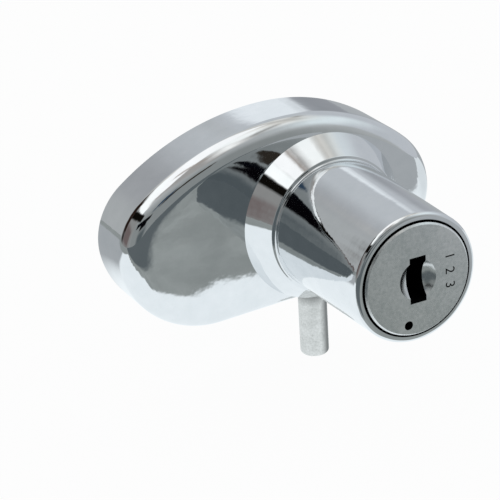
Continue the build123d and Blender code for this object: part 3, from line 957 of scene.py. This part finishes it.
def lay_card(tree, under, ray, azimuth, elevation, half_width, half_height, soft, colour, turn):
    """Put a card of the studio over the colour beneath it; all sizes in degrees."""
    a, e, t = radians(azimuth), radians(elevation), radians(turn)
    middle = Vector((sin(a) * cos(e), -cos(a) * cos(e), sin(e)))
    side = Vector((cos(a), sin(a), 0.0))
    up = Vector((-sin(a) * sin(e), cos(a) * sin(e), cos(e)))
    card = add_node(tree, "ShaderNodeGroup", {
        "Under": under, "Ray": ray, "Middle": middle,
        "Side": side * cos(t) + up * sin(t), "Up": up * cos(t) - side * sin(t),
        "Wide Out": radians(half_width + soft / 2), "Wide In": radians(half_width - soft / 2),
        "High Out": radians(half_height + soft / 2), "High In": radians(half_height - soft / 2),
        "Colour": linear(colour, STUDIO_GAIN)}, node_tree=card_group)
    return card.outputs["Room"]


# %% [markdown]
# Each card answers for something that the chrome shows: walls for the greys, windows and soft boxes for the
# whites, dark panels and beams for the black lines. A later card covers the earlier ones. The cards were
# drafted by hand along mirror rays; then a search outside this script tuned their places, sizes and colours
# to the photograph, and most numbers below are its results, rounded.

# %% The cards
ROOM_GREY = "#A2A5A6"
CARDS = [
    # azimuth, elevation, half width, half height, softness, colour, turn
    (-22, -3, 56, 46, 30, "#808484", 0),      # wall in front, on the left
    (-106, 19, 34, 31, 4, "#848483", 0),      # left wall
    (107, 7, 54, 42, 9, "#B3B7BC", 0),        # right wall, lighter
    (5, 96, 34, 24, 28, "#F2F4F3", 0),        # skylight
    (64, 70, 38, 3, 9, "#8C8C8A", 0),         # beam in the ceiling
    (145, 65, 41, 9, 18, "#D8D5CF", -10),     # window high on the right, behind
    (126, 62, 21, 5, 12, "#B7B6B2", 0),       # its sill
    (-44, 70, 26, 14, 12, "#989694", 0),      # wooden ceiling on the left
    (-140, 70, 28, 17, 5, "#F8F8F8", 0),      # large window on the left, behind
    (-107, 56, 28, 8, 5, "#FAFCFB", 0),       # its side pane
    (10, 69, 5, 12, 14, "#F6F6F4", 0),        # strip light above the camera
    (-62, 77, 14, 2, 6, "#9C948E", 0),        # window bar
    (72, 43, 23, 13, 26, "#D6DFE2", 0),       # soft box on the right
    (-28, -8, 12, 18, 12, "#52595C", 0),      # slate curtain beside the camera
    (166, 39, 23, 9, 9, "#B4B8BC", 0),        # even grey behind, seen in the barrel's top
    (-168, 21, 9, 19, 18, "#97999C", 0),      # grey shade behind, on the left
    (-87, 40, 31, 6, 4, "#0C0A08", 0),        # dark panel, seen edge on
    (-133, 28, 10, 21, 7, "#241814", 20),     # dark brown panel
    (-126, 4, 8, 6, 12, "#262120", 0),        # its foot
    (-100, 11, 17, 12, 10, "#685D5C", -8),    # reddish board
    (-37, 24, 19, 4, 2, "#06070C", 0),        # dark beam beside the camera
    (-32, 19, 9, 6, 4, "#050407", 0),         # dark corner under it
    (148, 3, 9, 10, 14, "#898C91", 0),        # grey stand behind, on the right
    (155, 19, 7, 8, 4, "#DCE1E5", 0),         # small reflector above it
    (-5, 31, 9, 3, 3, "#2E2924", 0),          # brown beam end
    (-17, 35, 4, 3, 3, "#2F4052", 0),         # patch of dusk blue above it
]


def bent_ray(tree, amount):
    """The direction of a ray, bent a little by noise so that no card has a ruled edge."""
    spot = add_node(tree, "ShaderNodeTexCoord")
    noise = add_node(tree, "ShaderNodeTexNoise", {
        "Vector": spot.outputs["Generated"], "Scale": 9.0, "Detail": 3.0, "Roughness": 0.55})
    centred = add_node(tree, "ShaderNodeVectorMath", {0: noise.outputs["Color"], 1: (0.5, 0.5, 0.5)},
                       operation="SUBTRACT")
    scaled = add_node(tree, "ShaderNodeVectorMath", {0: centred, "Scale": amount}, operation="SCALE")
    added = add_node(tree, "ShaderNodeVectorMath", {0: spot.outputs["Generated"], 1: scaled}, operation="ADD")
    return add_node(tree, "ShaderNodeVectorMath", {0: added}, operation="NORMALIZE")


world = bpy.data.worlds.new("studio")
bpy.context.scene.world = world
world.use_nodes = True
sky = world.node_tree
ray = bent_ray(sky, 0.06)
room_colour = linear(ROOM_GREY, STUDIO_GAIN)
for card in CARDS:
    room_colour = lay_card(sky, room_colour, ray, *card)
ray_kind = add_node(sky, "ShaderNodeLightPath")
seen = add_node(sky, "ShaderNodeMix", {
    0: ray_kind.outputs["Is Camera Ray"], 6: room_colour, 7: (1.0, 1.0, 1.0, 1.0)}, data_type="RGBA")
sky.links.new(seen.outputs[2], sky.nodes["Background"].inputs["Color"])
print("cards in the studio:", len(CARDS))


# %% [markdown]
# ## Floor
#
# The lock stands over a white sheet. Its front edge lies about 53 mm in front of the glass, runs in shallow
# waves and slants away from the glass on the right; beyond it the floor is grey. The flat face of the base
# shows that edge as the wavy border between grey and white. Mirror rays see these colours, camera rays see
# white, and a share of plain shading keeps the faint shadow. The same search tuned its borders and colours.

# %% The sheet and what lies around it
FLOOR_Z, FLOOR_HALF = -29.5, 600.0
WAVE_LENGTH, WAVE_HEIGHT, WAVE_START, EDGE_SLANT = 18, 1.5, 0.35, 0.3
GLOW_SHARE = 0.96


def lay_colour(tree, under, over, borders):
    """Lay a colour over another, where each value of the borders has gone from its start to its end."""
    share = 1.0
    for value, start, end in borders:
        passed = add_node(tree, "ShaderNodeMapRange", {
            "Value": value, "From Min": start * MM, "From Max": end * MM}, interpolation_type="SMOOTHSTEP")
        share = add_node(tree, "ShaderNodeMath", {0: passed, 1: share}, operation="MULTIPLY")
    both = [linear(c, STUDIO_GAIN) if isinstance(c, str) else c for c in (under, over)]
    return add_node(tree, "ShaderNodeMix", {0: share, 6: both[0], 7: both[1]}, data_type="RGBA").outputs[2]


def sheet_pattern(tree):
    """Colours of the sheet and the floor around it, as mirror rays see them."""
    spot = add_node(tree, "ShaderNodeTexCoord")
    parts = add_node(tree, "ShaderNodeSeparateXYZ", {0: spot.outputs["Object"]})
    x, y = parts.outputs[0], parts.outputs[1]
    swing = add_node(tree, "ShaderNodeMath", {0: x, 1: 2 * pi / (WAVE_LENGTH * MM), 2: WAVE_START},
                     operation="MULTIPLY_ADD")
    wave = add_node(tree, "ShaderNodeMath", {0: swing}, operation="COSINE")
    right_part = add_node(tree, "ShaderNodeMath", {0: x, 1: 0.0}, operation="MAXIMUM")
    slant = add_node(tree, "ShaderNodeMath", {0: right_part, 1: EDGE_SLANT, 2: y}, operation="MULTIPLY_ADD")
    edge = add_node(tree, "ShaderNodeMath", {0: wave, 1: WAVE_HEIGHT * MM, 2: slant},
                    operation="MULTIPLY_ADD")
    to_the_left = add_node(tree, "ShaderNodeVectorMath", {
        0: spot.outputs["Object"], 1: (-0.9, -0.45, 0.0)}, operation="DOT_PRODUCT")
    sheet = lay_colour(tree, "#E4EAED", "#D2D8DB", [(x, 50, 95)])
    sheet = lay_colour(tree, sheet, "#9CA0A3", [(y, 29, 50)])
    patches = add_node(tree, "ShaderNodeTexNoise", {
        "Vector": spot.outputs["Object"], "Scale": 1 / (13 * MM), "Detail": 3.0, "Distortion": 0.6})
    patch = add_node(tree, "ShaderNodeMapRange", {
        "Value": patches.outputs["Fac"], "From Min": 0.35, "From Max": 0.65})
    around = add_node(tree, "ShaderNodeMix", {
        0: patch, 6: linear("#7F8483", STUDIO_GAIN), 7: linear("#8E9392", STUDIO_GAIN)},
        data_type="RGBA").outputs[2]
    around = lay_colour(tree, around, "#9CA0A3", [(x, 22, 65)])
    around = lay_colour(tree, around, "#50575A", [(to_the_left.outputs["Value"], 41, 46), (y, -65, -72)])
    return lay_colour(tree, around, sheet, [(edge, -55, -52), (x, -205, -175)])


def sheet_material():
    """White sheet with a grey surround for mirror rays, plain white for the camera."""
    material = bpy.data.materials.new("white_sheet")
    material.use_nodes = True
    tree = material.node_tree
    tree.nodes.remove(tree.nodes["Principled BSDF"])
    kind = add_node(tree, "ShaderNodeLightPath")
    shown = add_node(tree, "ShaderNodeMix", {
        0: kind.outputs["Is Camera Ray"], 6: sheet_pattern(tree), 7: (1.0, 1.0, 1.0, 1.0)},
        data_type="RGBA")
    glow = add_node(tree, "ShaderNodeEmission", {"Color": shown.outputs[2]})
    plain_sheet = add_node(tree, "ShaderNodeBsdfDiffuse", {"Color": linear("#F2F4F5")})
    kept = add_node(tree, "ShaderNodeMixShader", {0: GLOW_SHARE, 1: plain_sheet, 2: glow})
    seen_directly = kind.outputs["Is Camera Ray"]
    for ray_type in ("Is Glossy Ray", "Is Transmission Ray"):
        seen_directly = add_node(tree, "ShaderNodeMath", {0: seen_directly, 1: kind.outputs[ray_type]},
                                 operation="MAXIMUM")
    final = add_node(tree, "ShaderNodeMixShader", {0: seen_directly, 1: plain_sheet, 2: kept})
    tree.links.new(final.outputs[0], tree.nodes["Material Output"].inputs["Surface"])
    return material


corners = oblong(FLOOR_HALF, FLOOR_HALF)
floor = new_object("floor", [(x * MM, y * MM, FLOOR_Z * MM) for x, y in corners], [(0, 1, 2, 3)])
floor.data.materials.append(sheet_material())
print("the floor lies at z =", FLOOR_Z, "mm")
